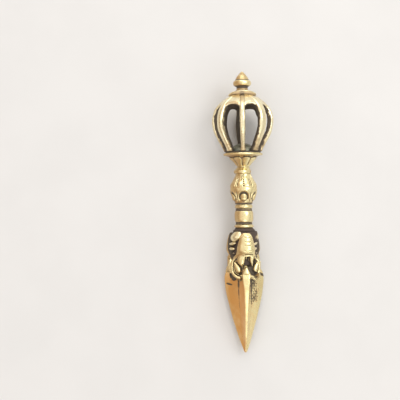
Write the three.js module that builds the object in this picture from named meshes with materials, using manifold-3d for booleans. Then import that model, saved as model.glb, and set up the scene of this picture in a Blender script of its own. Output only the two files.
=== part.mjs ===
// A small cast-brass phurba, a three-edged ritual dagger, lying on its side as it is laid down.
// It is built up on its tang: the blade's tang runs through the knot core, the rings, the barrel, the
// vase and the lotus cup, and ends in the seed boss inside the cage. Eight ribs stand on the cup's rim
// and lie in the slots of a crown dome, which the finial's stem closes. Every joint is soldered.
// Lengths are in millimetres. Each piece is made about the dagger's own axis, +Y from the blade's tip
// to the finial, with +Z towards the front edge of the blade, and the whole is laid down at the end.
import * as THREE from "three";
import { mergeVertices } from "three/addons/utils/BufferGeometryUtils.js";
import Module from "manifold-3d";

const wasm = await Module();
wasm.setup();

// Lengths of the pieces along the axis, from the tip upwards
const bladeLength = 31.3;
const coreLength = 11.8;
const collarLength = 1.1;
const lowerRingLength = 1.25;
const barrelLength = 5.6;
const upperRingLength = 1.4;
const vaseLength = 10.8;
const neckRingLength = 2.3;
const cupLength = 5.4;
const cageLength = 20.1;
const capLength = 1.5;
const finialLength = 6.9;

// Thickness of the solder film between two pieces
const solderFilm = 0.05;

// Tang and finial stem, with the room that their bores leave
const tangRadius = 1.2;
const tangRootDepth = 1;
const stemRadius = 0.9;
const boreClearance = 0.05;

// Blade: three fins, a straight taper from the tip, and a widest part below the makara heads
const finCount = 3;
const bladeWidestRadius = 7.7;
const bladeShoulderLength = 6.3;
const bladeTaperHeight = 15;
const bladeTaperRadius = 5.7;
const bladeShoulderRadius = 6.1;
const bladeNoseHeight = 1.0;
const bladeNoseRadius = 0.95;
const edgeFlatPerRadius = 0.2;
const flutePerRadiusAtTip = 0.45;
const flutePerRadiusAtHeads = 0.34;
const bladeNoseFlatShare = 0.12;

// Core between the blade and the collar. Between the heads it carries a boss over two coils, whose
// heights are taken down from its top and whose spreads are half-angles.
const coreRadius = 4.4;
const coreTopRadius = 3.9;
const coreShoulderLength = 2;
const knotBossRadius = 5.6;
const knotBossDrop = 1.5;
const knotBossReach = 1.5;
const knotBossSpread = 29;
const coilRadius = 5.75;
const coilReach = 0.62;
const coilDrops = [4.25, 6.05];
const coilSpreads = [27, 22];

// How far the heads and knots are turned on the blade
const headTurn = 3;

// Makara heads. Heights are taken from the blade's shoulder, and spreads are half-angles.
const headDrop = 4.0;
const headSpread = 58.6;
const headInnerRadius = 1.6;
const snoutLipHeight = 3.2;
const snoutLipRadius = 6.8;
const snoutLipSpread = 32;
const snoutTopGap = 0.35;
const snoutTopRadius = 4.4;
const snoutTopSpread = 22;
const snoutEdgeFall = 1.9;
const snoutLipThickness = 0.4;
const snoutLipOverlap = 0.2;
const snoutFlareLow = 2.5;
const snoutFlareHigh = 4.1;
const headLeastWall = 0.3;
const cheekRadius = 5.2;
const cheekRimFall = 0.35;
const cheekRimSpread = 8;
const eyeRadius = 6.25;
const eyeAcross = 3.25;
const eyeHeight = -0.95;
const eyeLength = 3.9;
const eyeWidth = 1.9;
const eyeTilt = 20;
const curlRadius = 6.1;
const curlWidth = 1.5;
const fangAcross = 1.5;
const fangHeight = 2.2;
const fangLength = 3.0;
const fangWidth = 1.0;

// Line of the curled ridge from the brow round the eye to the jaw, as [across, height]
const curlLine = [[2.2, 2.9], [3.6, 2.5], [4.8, 1.2], [5.0, -0.6], [4.4, -2.2], [3.2, -3.3], [2.0, -3.5]];

// Turned pieces of the grip
const collarRadius = 3.95;
const collarTopRadius = 3.15;
const collarLipThickness = 0.25;
const ringRounding = 0.4;
const lowerRingRadius = 3.4;
const barrelRadius = 3.32;
const barrelNeckRadius = 3.0;
const barrelGroove = 0.95;
const barrelFullness = 0.98;
const upperRingRadius = 3.15;
const neckRingRadius = 3.1;
const neckRingLip = 0.6;
const neckRingWaist = 1.0;
const neckRingWaistRadius = 2.45;
const neckRingTopRadius = 2.2;

// Vase, with arched petals that hold a round boss below, and broad petals above whose seams are over
// the arches
const vaseTurn = -4;
const vaseFootRadius = 3.2;
const vaseBellyRadius = 4.75;
const vaseBellyHeight = 5.8;
const vaseNeckRadius = 2.9;
const vasePetals = 5;
const archHalfWidth = 2.0;
const archSpringHeight = 2.0;
const archRise = 2.2;
const archGrooveWidth = 0.5;
const archGrooveDepth = 0.3;
const archFootFade = 0.1;
const petalBossRadius = 1.3;
const petalBossRise = 0.35;
const upperSeamWidth = 0.5;
const upperSeamDepth = 0.28;

// Lotus cup
const cupFootRadius = 2.1;
const cupTurn = -11.25;
const cupRimRadius = 6.95;
const cupRimThickness = 0.8;
const cupPetals = 8;
const cupPetalRise = 0.4;
const cupRimOverhang = 0.75;
const bossRadius = 4.6;
const bossLength = 3.0;
const bossSocket = 2.0;

// Cage of ribs and crown dome. The drifts are how far each rib stands from an even spacing.
const ribCount = 8;
const cageTurn = -5;
const ribDrifts = [0, -1, 0, 0, 8, 0, 0, -6];
const ribWidths = [1.9, 2.5, 2.1, 2.1, 2.1, 2.1, 2.1, 2.5];
const ribChamfer = 0.22;
const ribFootShare = 0.75;
const ribFootTaper = 0.35;
const ribThickness = 2.1;
const cageBellyRadius = 10.9;
const cageBellyHeight = 11.0;
const cageFootRadius = 6.6;
const cageTopRadius = 4.1;
const domeThickness = 1.5;
const domeSetBack = 0.25;
const windowHeight = 16.9;
const windowCornerDrop = 2.2;

// Course of the ribs' outer line, as shares of the way out and up to the belly, and then of the way out
// and up from the belly to the crown
const ribCourseBelow = [[0, 0], [0.56, 0.4], [0.92, 0.74], [1, 1]];
const ribCourseAbove = [[0.86, 0.43], [0.58, 0.72], [0.2, 0.93], [0, 1]];

// Cap
const capRadius = 5.0;
const capRimThickness = 0.55;
const capDroop = 0.12;
const capShelf = 0.25;

// Finial
const finialNeckRadius = 2.15;
const finialNeckLength = 1.7;
const finialBulgeRadius = 3.25;
const finialBulgeLength = 2.1;
const finialBudRadius = 2.45;
const finialBudStep = 0.15;

// Height between two corners of an outline that steps straight in or out
const hairline = 0.01;

// Heights at which the pieces start, each one solder film above the piece below
const bladeTop = bladeLength;
const bladeWidestHeight = bladeTop - bladeShoulderLength;
const coreBase = bladeTop + solderFilm;
const collarBase = coreBase + coreLength + solderFilm;
const lowerRingBase = collarBase + collarLength + solderFilm;
const barrelBase = lowerRingBase + lowerRingLength + solderFilm;
const upperRingBase = barrelBase + barrelLength + solderFilm;
const vaseBase = upperRingBase + upperRingLength + solderFilm;
const neckRingBase = vaseBase + vaseLength + solderFilm;
const cupBase = neckRingBase + neckRingLength + solderFilm;
const cageBase = cupBase + cupLength + solderFilm;
const capBase = cageBase + cageLength + solderFilm;
const finialBase = capBase + capLength + solderFilm;
const boreRadius = tangRadius + boreClearance;
const stemBoreRadius = stemRadius + boreClearance;

const radians = THREE.MathUtils.degToRad;
const { lerp, smoothstep, clamp } = THREE.MathUtils;

// A point at a bearing round the axis, in degrees from the front, at a radius and a height
function around(bearing, radius, height) {
  const angle = radians(bearing);
  return new THREE.Vector3(radius * Math.sin(angle), height, radius * Math.cos(angle));
}

// A closed surface over loops of points. The loops join end to end, or two caps close them.
function skin(loops, joined) {
  const count = loops[0].length;
  const points = loops.flat();
  const triangles = [];
  const gaps = joined ? loops.length : loops.length - 1;
  for (let i = 0; i < gaps; i++) {
    const next = (i + 1) % loops.length;
    for (let j = 0; j < count; j++) {
      const k = (j + 1) % count;
      const [a, b, c, d] = [i * count + j, i * count + k, next * count + k, next * count + j];
      triangles.push(a, b, c, a, c, d);
    }
  }
  if (!joined) {
    for (const [loop, first, over] of [[loops[0], 0, true], [loops.at(-1), points.length - count, false]]) {
      const middle = points.length;
      points.push(loop.reduce((sum, p) => sum.add(p), new THREE.Vector3()).divideScalar(count));
      for (let j = 0; j < count; j++) {
        const [a, b] = [first + j, first + ((j + 1) % count)];
        triangles.push(...(over ? [middle, b, a] : [middle, a, b]));
      }
    }
  }
  return facingOut(new THREE.BufferGeometry().setFromPoints(points).setIndex(triangles));
}

// Turns a closed surface's faces outwards if they point inwards
function facingOut(geometry) {
  if (volumeOf(geometry).volume > 0) return geometry;
  const index = geometry.index.array;
  for (let i = 0; i < index.length; i += 3) [index[i + 1], index[i + 2]] = [index[i + 2], index[i + 1]];
  return geometry;
}

// Volume of a closed surface, and its first moment
function volumeOf(geometry) {
  const position = geometry.attributes.position;
  const corner = [new THREE.Vector3(), new THREE.Vector3(), new THREE.Vector3()];
  const moment = new THREE.Vector3();
  let volume = 0;
  for (let i = 0; i < geometry.index.count; i += 3) {
    corner.forEach((p, n) => p.fromBufferAttribute(position, geometry.index.getX(i + n)));
    const part = corner[0].dot(new THREE.Vector3().crossVectors(corner[1], corner[2])) / 6;
    volume += part;
    moment.addScaledVector(corner[0].clone().add(corner[1]).add(corner[2]), part / 4);
  }
  return { volume, moment };
}

// A turned piece: its outline is given as [radius, height] pairs and closes on itself or on the axis
function turned(outline, base, segments = 24) {
  const points = outline.map(([radius, height]) => new THREE.Vector2(radius, base + height));
  const geometry = mergeVertices(bare(new THREE.LatheGeometry(points, segments)), 1e-4);
  return facingOut(geometry);
}

// The same geometry with only its positions
function bare(geometry) {
  geometry.deleteAttribute("normal");
  geometry.deleteAttribute("uv");
  return geometry;
}

// A bored piece whose outer radius changes with bearing and height: radiusAt(bearing, height above base)
function carved(radiusAt, heights, base, bore, columns) {
  const loops = [];
  for (let i = 0; i < columns; i++) {
    const bearing = (360 * i) / columns;
    const outside = heights.map((height) => around(bearing, radiusAt(bearing, height), base + height));
    const ends = [heights.at(-1), heights[0]];
    loops.push([...outside, ...ends.map((height) => around(bearing, bore, base + height))]);
  }
  return skin(loops, true);
}

// Evenly spaced numbers from one value to another
function steps(from, to, count) {
  return Array.from({ length: count + 1 }, (_, i) => lerp(from, to, i / count));
}

// How far a bearing is from the nearest of a number of evenly spaced ones, the first at offset
function offBeat(bearing, count, offset = 0) {
  const pitch = 360 / count;
  const phase = THREE.MathUtils.euclideanModulo(bearing - offset, pitch);
  return phase > pitch / 2 ? phase - pitch : phase;
}

// A rounded swelling: 1 at the middle and 0 at one or more from it
function swell(distance) {
  return Math.abs(distance) >= 1 ? 0 : Math.sqrt(1 - distance * distance);
}

// Distance from a point to a line of points, all as [x, y]
function distanceToPath([x, y], path) {
  let nearest = Infinity;
  for (let i = 1; i < path.length; i++) {
    const [[ax, ay], [bx, by]] = [path[i - 1], path[i]];
    const lengthSquared = (bx - ax) ** 2 + (by - ay) ** 2;
    const along = clamp(((x - ax) * (bx - ax) + (y - ay) * (by - ay)) / lengthSquared, 0, 1);
    nearest = Math.min(nearest, Math.hypot(x - lerp(ax, bx, along), y - lerp(ay, by, along)));
  }
  return nearest;
}

// manifold-3d solids for the cuts
function solid(geometry) {
  const merged = mergeVertices(bare(geometry.clone()), 1e-4);
  const mesh = new wasm.Mesh({
    numProp: 3,
    vertProperties: new Float32Array(merged.attributes.position.array),
    triVerts: new Uint32Array(merged.index.array),
  });
  return new wasm.Manifold(mesh);
}

function geometryOf(manifold) {
  const mesh = manifold.getMesh();
  const geometry = new THREE.BufferGeometry();
  geometry.setAttribute("position", new THREE.BufferAttribute(mesh.vertProperties, mesh.numProp));
  return geometry.setIndex(new THREE.BufferAttribute(mesh.triVerts, 1));
}

// Radius of the fins' edges at a height of the blade
function edgeRadius(height) {
  const slope = (bladeTaperRadius - bladeNoseRadius) / (bladeTaperHeight - bladeNoseHeight);
  if (height < bladeNoseHeight) return bladeNoseRadius * swell(1 - height / bladeNoseHeight);
  if (height <= bladeTaperHeight) return bladeNoseRadius + slope * (height - bladeNoseHeight);
  if (height <= bladeWidestHeight) {
    const reach = bladeWidestHeight - bladeTaperHeight;
    const along = (height - bladeTaperHeight) / reach;
    const rise = bladeWidestRadius - bladeTaperRadius;
    const power = (slope * reach) / rise;
    return bladeTaperRadius + rise * (1 - (1 - along) ** power);
  }
  const fall = (height - bladeWidestHeight) / (bladeLength - bladeWidestHeight);
  return lerp(bladeShoulderRadius, bladeWidestRadius, Math.sqrt(Math.max(0, 1 - fall ** 3)));
}

// One section of the blade: three blunt edges and three flutes, grown by a clearance
function bladeSection(height, growth) {
  const edge = edgeRadius(height);
  const deepening = smoothstep(height, bladeTaperHeight, bladeWidestHeight);
  const flute = edge * lerp(flutePerRadiusAtTip, flutePerRadiusAtHeads, deepening);
  const section = [];
  for (let fin = 0; fin < finCount; fin++) {
    const bearing = (360 * fin) / finCount;
    const outward = around(bearing, edge + growth, height);
    const across = around(bearing + 90, (edge * edgeFlatPerRadius) / 2 + growth, 0);
    section.push(outward.clone().sub(across), outward.clone().add(across));
    section.push(around(bearing + 180 / finCount, flute + growth, height));
  }
  return section;
}

function bladeBody(growth = 0) {
  const nose = steps(0, bladeNoseHeight, 3).slice(1);
  const taper = steps(bladeNoseHeight, bladeTaperHeight, 1).slice(1);
  const swelling = steps(bladeTaperHeight, bladeWidestHeight, 6).slice(1);
  const shoulder = steps(bladeWidestHeight, bladeLength, 6).slice(1);
  const heights = [bladeNoseFlatShare * bladeNoseHeight, ...nose, ...taper, ...swelling, ...shoulder];
  const sections = heights.map((height) => bladeSection(height, growth));
  if (growth) sections.push(bladeSection(bladeLength, growth).map((p) => p.setY(bladeLength + growth)));
  return skin(sections, false);
}

// The blade with its tang, which ends inside the seed boss
function blade() {
  const root = bladeTop - tangRootDepth;
  const tangLength = cageBase + bossSocket - boreClearance - root;
  const tang = turned([[0, 0], [tangRadius, 0], [tangRadius, tangLength], [0, tangLength], [0, 0]], root, 16);
  return geometryOf(solid(bladeBody()).add(solid(tang)));
}

// The core: a plain bed under each head, and between the heads a boss over two coils
function coreOutline(bearing, height) {
  const drop = coreLength - height;
  const toKnot = Math.abs(offBeat(bearing, finCount, 180 / finCount + headTurn));
  const shoulder = swell(clamp(1 - drop / coreShoulderLength, 0, 1));
  const bed = lerp(coreTopRadius, coreRadius, shoulder);
  const boss = swell(Math.hypot(toKnot / knotBossSpread, (drop - knotBossDrop) / knotBossReach));
  const coils = coilDrops.map((at, i) => {
    const coil = swell(Math.hypot((toKnot / coilSpreads[i]) ** 2, (drop - at) / coilReach));
    return coil * (coilRadius - bed);
  });
  return bed + Math.max(boss * (knotBossRadius - bed), ...coils);
}

function knotCore() {
  const [upper, lower] = coilDrops;
  const coilRows = [lower, upper].flatMap((at) => steps(at + coilReach, at - coilReach, 4));
  const bossTop = knotBossDrop + knotBossReach;
  const bossLow = bossTop - knotBossReach / 3;
  const bossRows = [bossTop, bossLow, knotBossDrop, coreShoulderLength / 3, coreShoulderLength / 8, 0];
  const heights = [coreLength, ...coilRows, ...bossRows].map((drop) => coreLength - drop);
  return carved(coreOutline, heights, coreBase, boreRadius, 42);
}

// Half of the angle that a head covers at a height above the blade's shoulder
function headHalfAngle(height) {
  const along = clamp((height - snoutLipHeight) / (coreLength - snoutLipHeight), 0, 1);
  const snout = lerp(snoutLipSpread, snoutTopSpread, along);
  return lerp(headSpread, snout, smoothstep(height, snoutFlareLow, snoutFlareHigh));
}

// The snout's ridge rises from its rounded top to the lip
function snoutRadius(height) {
  const along = clamp((height - snoutLipHeight) / (coreLength - snoutLipHeight), 0, 1);
  return lerp(snoutTopRadius, snoutLipRadius, swell(along));
}

// The face below the snout: brow and jaw curl, eye and fang on each side of the fin
function faceRadius(across, height) {
  const ridge = curlRadius - cheekRadius;
  const curl = ridge * swell(distanceToPath([across, height], curlLine) / (curlWidth / 2));
  const [cos, sin] = [Math.cos(radians(eyeTilt)), Math.sin(radians(eyeTilt))];
  const [dx, dy] = [across - eyeAcross, height - eyeHeight];
  const along = (dy * cos + dx * sin) / (eyeLength / 2);
  const beside = (dx * cos - dy * sin) / (eyeWidth / 2);
  const eye = swell(Math.hypot(along, beside)) * (eyeRadius - cheekRadius);
  const beyondFang = [(across - fangAcross) / (fangWidth / 2), (height - fangHeight) / (fangLength / 2)];
  const fang = ridge * swell(Math.hypot(...beyondFang));
  return cheekRadius + Math.max(curl, eye, fang);
}

// The head's surface at a bearing from its middle and a height above the blade's shoulder
function headRadius(bearing, height) {
  const side = Math.abs(bearing);
  const aboveLip = height > snoutLipHeight + snoutLipThickness;
  const edge = aboveLip ? headHalfAngle(height) : snoutLipSpread;
  const snout = snoutRadius(height) - snoutEdgeFall * (side / edge) ** 2;
  if (aboveLip) return Math.max(snout, coreRadius + solderFilm + headLeastWall);
  const rim = smoothstep(side, headSpread - cheekRimSpread, headSpread) * cheekRimFall;
  const face = faceRadius(radians(side) * cheekRadius, height) - rim;
  return height > snoutLipHeight - snoutLipOverlap ? Math.max(snout, face) : face;
}

// One head: its carved face, backed by the core above the shoulder and by the blade's flutes below
function makaraHead(number, cutter) {
  const lip = snoutLipHeight + snoutLipThickness;
  const heights = [...steps(-headDrop, lip, 14), ...steps(lip + hairline, coreLength - snoutTopGap, 7)];
  const middle = (360 * number) / finCount + headTurn;
  const loops = steps(-1, 1, 20).map((u) => {
    const front = heights.map((height) => {
      const bearing = u * headHalfAngle(height);
      return around(middle + bearing, headRadius(bearing, height), bladeTop + height);
    });
    const back = heights.toReversed().map((height) => {
      return around(middle + u * headHalfAngle(height), headInnerRadius, bladeTop + height);
    });
    return [...front, ...back];
  });
  return geometryOf(solid(slab(loops, heights.length)).subtract(cutter));
}

// A closed surface over open-ended loops whose first half faces the second half, rung by rung
function slab(loops, rungs) {
  const count = loops[0].length;
  const triangles = [];
  for (let i = 0; i < loops.length - 1; i++) {
    for (let j = 0; j < count; j++) {
      const k = (j + 1) % count;
      const [a, b, c, d] = [i * count + j, i * count + k, (i + 1) * count + k, (i + 1) * count + j];
      triangles.push(a, b, c, a, c, d);
    }
  }
  for (const [start, over] of [[0, true], [(loops.length - 1) * count, false]]) {
    for (let j = 0; j < rungs - 1; j++) {
      const [a, b, c, d] = [start + j, start + j + 1, start + count - 2 - j, start + count - 1 - j];
      triangles.push(...(over ? [a, c, b, a, d, c] : [a, b, c, a, c, d]));
    }
  }
  return facingOut(new THREE.BufferGeometry().setFromPoints(loops.flat()).setIndex(triangles));
}

// What the heads are cut back from: the core and the blade, each grown by a solder film
function headCutter() {
  const radius = coreRadius + solderFilm;
  const [low, high] = [-solderFilm, coreLength + collarLength];
  const core = turned([[0, low], [radius, low], [radius, high], [0, high], [0, low]], bladeTop, 54);
  return solid(bladeBody(solderFilm)).add(solid(core));
}

// A turned piece on the tang, from its flank alone: [radius, height] pairs that end at its length
function onTang(flank, length, base) {
  return turned([[boreRadius, 0], ...flank, [boreRadius, length], [boreRadius, 0]], base);
}

// A ring with a rounded rim
function ring(radius, length, base) {
  const flank = steps(-1, 1, 6).map((u) => [radius - ringRounding * (1 - swell(u)), (length * (u + 1)) / 2]);
  return onTang(flank, length, base);
}

// The collar flares from the lower ring down to the heads
function collar() {
  const flank = [[collarRadius, 0], [collarRadius, collarLipThickness], [collarTopRadius, collarLength]];
  return onTang(flank, collarLength, collarBase);
}

// The barrel: a low bulge between two grooves
function barrel() {
  const bulge = steps(-1, 1, 6).map((u) => [
    lerp(barrelNeckRadius, barrelRadius, swell(u * barrelFullness)),
    lerp(barrelGroove, barrelLength - barrelGroove, (u + 1) / 2),
  ]);
  const flank = [[barrelNeckRadius, 0], ...bulge, [barrelNeckRadius, barrelLength]];
  return onTang(flank, barrelLength, barrelBase);
}

// The neck ring: a lip under a waist that narrows to the cup
function neckRing() {
  const lip = steps(-1, 1, 4).map((u) => {
    return [neckRingRadius - (neckRingLip / 2) * (1 - swell(u)), (neckRingLip * (u + 1)) / 2];
  });
  const waist = [[neckRingWaistRadius, neckRingWaist], [neckRingTopRadius, neckRingLength]];
  return onTang([...lip, ...waist], neckRingLength, neckRingBase);
}

// The vase: a belly on a foot, broad petals above and arches with round bosses below
function vaseOutline(bearing, height) {
  const below = height < vaseBellyHeight;
  const reach = below ? vaseBellyHeight : vaseLength - vaseBellyHeight;
  const end = below ? vaseFootRadius : vaseNeckRadius;
  const along = Math.abs(height - vaseBellyHeight) / reach;
  const belly = lerp(end, vaseBellyRadius, 0.5 + 0.5 * Math.cos(Math.PI * along));
  const across = radians(offBeat(bearing, vasePetals, vaseTurn)) * vaseBellyRadius;
  if (!below) return belly - upperSeamDepth * swell(across / upperSeamWidth) * Math.sin(Math.PI * along);
  const arch = Math.hypot(across / archHalfWidth, Math.max(0, height - archSpringHeight) / archRise);
  const groove = archGrooveDepth * swell(((arch - 1) * archHalfWidth) / archGrooveWidth);
  const boss = petalBossRise * swell(Math.hypot(across, height - archSpringHeight) / petalBossRadius);
  return belly - groove * smoothstep(1 - along, 0, archFootFade) + boss;
}

function vase() {
  return carved(vaseOutline, steps(0, vaseLength, 18), vaseBase, boreRadius, 90);
}

// The lotus cup: petals climb its cone and a plain rim closes it
function cupOutline(bearing, height) {
  const wall = cupLength - cupRimThickness;
  if (height >= wall) return cupRimRadius;
  const cone = lerp(cupFootRadius, cupRimRadius - cupRimOverhang, (height / wall) ** 0.9);
  const halfPetal = 180 / cupPetals;
  const side = Math.abs(offBeat(bearing, cupPetals, halfPetal + cupTurn)) / halfPetal;
  return cone + cupPetalRise * Math.sqrt(1 - side ** 3) * swell((height / wall) * 2 - 1);
}

function lotusCup() {
  const wall = cupLength - cupRimThickness;
  return carved(cupOutline, [...steps(0, wall, 6), wall + hairline, cupLength], cupBase, boreRadius, 64);
}

// The seed boss inside the cage, soldered over the tang's end
function seedBoss() {
  const dome = steps(0, 90, 7).map((turn) => {
    return [bossRadius * Math.cos(radians(turn)), bossLength * Math.sin(radians(turn))];
  });
  const socket = [[0, bossSocket], [boreRadius, bossSocket], [boreRadius, 0]];
  return turned([[boreRadius, 0], ...dome, ...socket], cageBase);
}

// Outer line of the ribs, from their feet over the belly to the crown
const ribLine = new THREE.CatmullRomCurve3([
  ...ribCourseBelow.map(([out, up]) => {
    return new THREE.Vector3(lerp(cageFootRadius, cageBellyRadius, out), lerp(0, cageBellyHeight, up), 0);
  }),
  ...ribCourseAbove.map(([out, up]) => {
    const radius = lerp(cageTopRadius, cageBellyRadius, out);
    return new THREE.Vector3(radius, lerp(cageBellyHeight, cageLength, up), 0);
  }),
]);

// Bearing of a rib, also of one counted from the last or past the last
function ribBearing(number) {
  const drift = ribDrifts[(number + ribCount) % ribCount];
  return (360 * number) / ribCount + cageTurn + drift;
}

// How near a bearing is to a rib: 1 on it and 0 halfway to the next one
function nearnessToRib(bearing) {
  let number = 0;
  while (bearing > ribBearing(number)) number++;
  const [before, after] = [ribBearing(number - 1), ribBearing(number)];
  return Math.abs((2 * (bearing - before)) / (after - before) - 1);
}

// One rib: a bar whose section has rounded outer corners, set square to the rib's line
function rib(number, growth = 0) {
  const bearing = ribBearing(number);
  const sections = steps(0, 1, 16).map((t) => {
    const way = ribLine.getTangent(t);
    const at = ribLine.getPoint(t).addScaledVector(way, t === 1 ? growth : 0);
    const share = lerp(ribFootShare, 1, smoothstep(t, 0, ribFootTaper));
    const half = (ribWidths[number] / 2) * share + growth;
    const depth = ribThickness + growth;
    const shoulder = growth - ribChamfer;
    const corners = [
      [-half + ribChamfer, growth], [half - ribChamfer, growth], [half, shoulder],
      [half, -depth], [-half, -depth], [-half, shoulder],
    ];
    return corners.map(([side, out]) => {
      const height = t === 0 ? 0 : clamp(at.y - way.x * out, 0, cageLength + growth);
      const point = around(bearing, at.x + way.y * out, cageBase + height);
      return point.add(around(bearing + 90, side, 0));
    });
  });
  return skin(sections, false);
}

// The crown dome: a thin shell under the ribs' tops, arched over each window
function crownDome(slots) {
  const rows = 4;
  const columns = 48;
  const loops = [];
  const shell = (t, depth) => {
    const at = ribLine.getPoint(t);
    const way = ribLine.getTangent(t);
    return [at.x - way.y * depth, at.y + way.x * depth];
  };
  for (let i = 0; i < columns; i++) {
    const bearing = (360 * i) / columns + cageTurn;
    const sill = windowHeight - windowCornerDrop * nearnessToRib(bearing) ** 3;
    const low = heightOnRib(sill);
    const outside = steps(low, 1, rows).map((t) => shell(t, domeSetBack));
    const inside = steps(1, low, rows).map((t) => shell(t, domeSetBack + domeThickness));
    const bore = [[stemBoreRadius, cageLength], [stemBoreRadius, cageLength - domeThickness]];
    loops.push([...outside, ...bore, ...inside].map(([radius, height]) => {
      return around(bearing, radius, cageBase + Math.min(height, cageLength));
    }));
  }
  return geometryOf(slots.reduce((shape, slot) => shape.subtract(slot), solid(skin(loops, true))));
}

// Where along the ribs' line a height is reached
function heightOnRib(height) {
  let [low, high] = [0, 1];
  for (let i = 0; i < 30; i++) {
    const middle = (low + high) / 2;
    if (ribLine.getPoint(middle).y < height) low = middle;
    else high = middle;
  }
  return low;
}

// The cap: a shallow umbrella with a rounded rim
function cap() {
  const lip = capRimThickness / 2;
  const rim = steps(-1, 1, 4).map((u) => [capRadius - lip * (1 - swell(u)), capDroop + lip * (1 + u)]);
  const roof = steps(0, 1, 4).slice(1).map((u) => [
    lerp(capRadius - lip, finialNeckRadius + capShelf, u),
    lerp(capDroop + capRimThickness, capLength, Math.sin((u * Math.PI) / 2)),
  ]);
  const seat = [[stemBoreRadius, 0], [cageTopRadius, 0]];
  return turned([...seat, ...rim, ...roof, [stemBoreRadius, capLength], [stemBoreRadius, 0]], capBase, 32);
}

// The finial: a bud on a bulge on a neck, with the stem that closes the crown
function finial() {
  const stem = capLength + domeThickness + 2 * solderFilm;
  const bulgeTop = finialNeckLength + finialBulgeLength;
  const bulge = steps(-1, 1, 6).map((u) => [
    lerp(u < 0 ? finialNeckRadius : finialBudRadius, finialBulgeRadius, swell(u)),
    lerp(finialNeckLength, bulgeTop, (u + 1) / 2),
  ]);
  const bud = steps(0, 1, 5).map((u) => [
    finialBudRadius * (1 - u ** 1.5), lerp(bulgeTop + finialBudStep, finialLength, u),
  ]);
  const foot = [[0, -stem], [stemRadius, -stem], [stemRadius, 0], [finialNeckRadius, 0]];
  return turned([...foot, ...bulge, ...bud, [0, -stem]], finialBase, 24);
}

// Colours of the metal: worn bright brass, the duller brass of unhandled places, and dark patina
const finishes = {
  bright: new THREE.MeshStandardMaterial({ color: 0xc9a864, roughness: 0.32, metalness: 1 }),
  dull: new THREE.MeshStandardMaterial({ color: 0xa98b4f, roughness: 0.45, metalness: 1 }),
  dark: new THREE.MeshStandardMaterial({ color: 0x5a4d38, roughness: 0.6, metalness: 1 }),
};

const dagger = new THREE.Group();
function add(name, geometry, finish) {
  const mesh = new THREE.Mesh(geometry, finishes[finish]);
  mesh.name = name;
  dagger.add(mesh);
}

add("blade", blade(), "bright");
add("knot_core", knotCore(), "dull");
const cutter = headCutter();
for (let number = 0; number < finCount; number++) {
  add(`makara_head_${number + 1}`, makaraHead(number, cutter), "bright");
}
add("collar", collar(), "dark");
add("lower_ring", ring(lowerRingRadius, lowerRingLength, lowerRingBase), "bright");
add("barrel", barrel(), "bright");
add("upper_ring", ring(upperRingRadius, upperRingLength, upperRingBase), "bright");
add("vase", vase(), "bright");
add("neck_ring", neckRing(), "bright");
add("lotus_cup", lotusCup(), "bright");
add("seed_boss", seedBoss(), "dark");
const slots = [];
for (let number = 0; number < ribCount; number++) {
  add(`cage_rib_${number + 1}`, rib(number), "bright");
  slots.push(solid(rib(number, solderFilm)));
}
add("crown_dome", crownDome(slots), "bright");
add("cap_disc", cap(), "bright");
add("finial", finial(), "bright");

// The line under the dagger's middle plane on which it comes to rest: the stretch of its lowest outline
// that lies under its centre of mass. Returns that line's slope.
function restingSlope() {
  const lowest = [];
  let [volume, moment] = [0, 0];
  for (const mesh of dagger.children) {
    const mass = volumeOf(mesh.geometry);
    volume += mass.volume;
    moment += mass.moment.y;
    const position = mesh.geometry.attributes.position;
    for (let i = 0; i < position.count; i++) lowest.push([position.getY(i), position.getZ(i)]);
  }
  lowest.sort((a, b) => a[0] - b[0] || a[1] - b[1]);
  const hull = [];
  for (const point of lowest) {
    while (hull.length > 1 && !turnsUp(hull.at(-2), hull.at(-1), point)) hull.pop();
    hull.push(point);
  }
  const balance = moment / volume;
  const after = hull.findIndex(([along]) => along > balance);
  const [[y0, z0], [y1, z1]] = [hull[after - 1], hull[after]];
  return (z1 - z0) / (y1 - y0);
}

function turnsUp([ax, ay], [bx, by], [cx, cy]) {
  return (bx - ax) * (cy - ay) - (by - ay) * (cx - ax) > 0;
}

// Laid down: tilted onto its cage and its two lower fins, with its middle over the origin, on height 0
dagger.rotation.x = -Math.atan(restingSlope());
const phurba = new THREE.Group();
phurba.add(dagger);
phurba.updateMatrixWorld(true);
const reach = new THREE.Box3().setFromObject(phurba, true);
dagger.position.x = -(reach.min.x + reach.max.x) / 2;
dagger.position.y = -(reach.min.y + reach.max.y) / 2;
dagger.position.z = -reach.min.z;

export default phurba;
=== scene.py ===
import math

import bmesh
import bpy
import numpy as np
from mathutils import Matrix, Vector


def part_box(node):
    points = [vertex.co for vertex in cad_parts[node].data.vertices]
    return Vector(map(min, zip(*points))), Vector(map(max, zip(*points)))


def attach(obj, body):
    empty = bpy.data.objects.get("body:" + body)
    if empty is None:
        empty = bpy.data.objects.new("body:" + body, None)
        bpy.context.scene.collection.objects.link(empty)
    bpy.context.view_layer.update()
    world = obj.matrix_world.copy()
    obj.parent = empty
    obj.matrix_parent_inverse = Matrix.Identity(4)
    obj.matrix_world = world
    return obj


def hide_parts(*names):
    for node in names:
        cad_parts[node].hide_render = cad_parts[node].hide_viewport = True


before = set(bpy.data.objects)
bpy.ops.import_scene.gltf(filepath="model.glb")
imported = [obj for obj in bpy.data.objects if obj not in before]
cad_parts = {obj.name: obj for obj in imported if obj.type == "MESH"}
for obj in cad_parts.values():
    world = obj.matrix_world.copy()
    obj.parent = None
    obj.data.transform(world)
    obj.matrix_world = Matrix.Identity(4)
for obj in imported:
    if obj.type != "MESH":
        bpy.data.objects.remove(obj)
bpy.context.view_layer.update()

# Blade. Three blunt fins cast in one with the tang that carries all the rest, filed flat on the edges
# and hollowed between them. The dagger lies on two fins and on its cage, so every piece is modelled
# upright in millimetres, tip at the origin and front towards -Y, and then laid down with the same turn.
MM = 0.001
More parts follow.
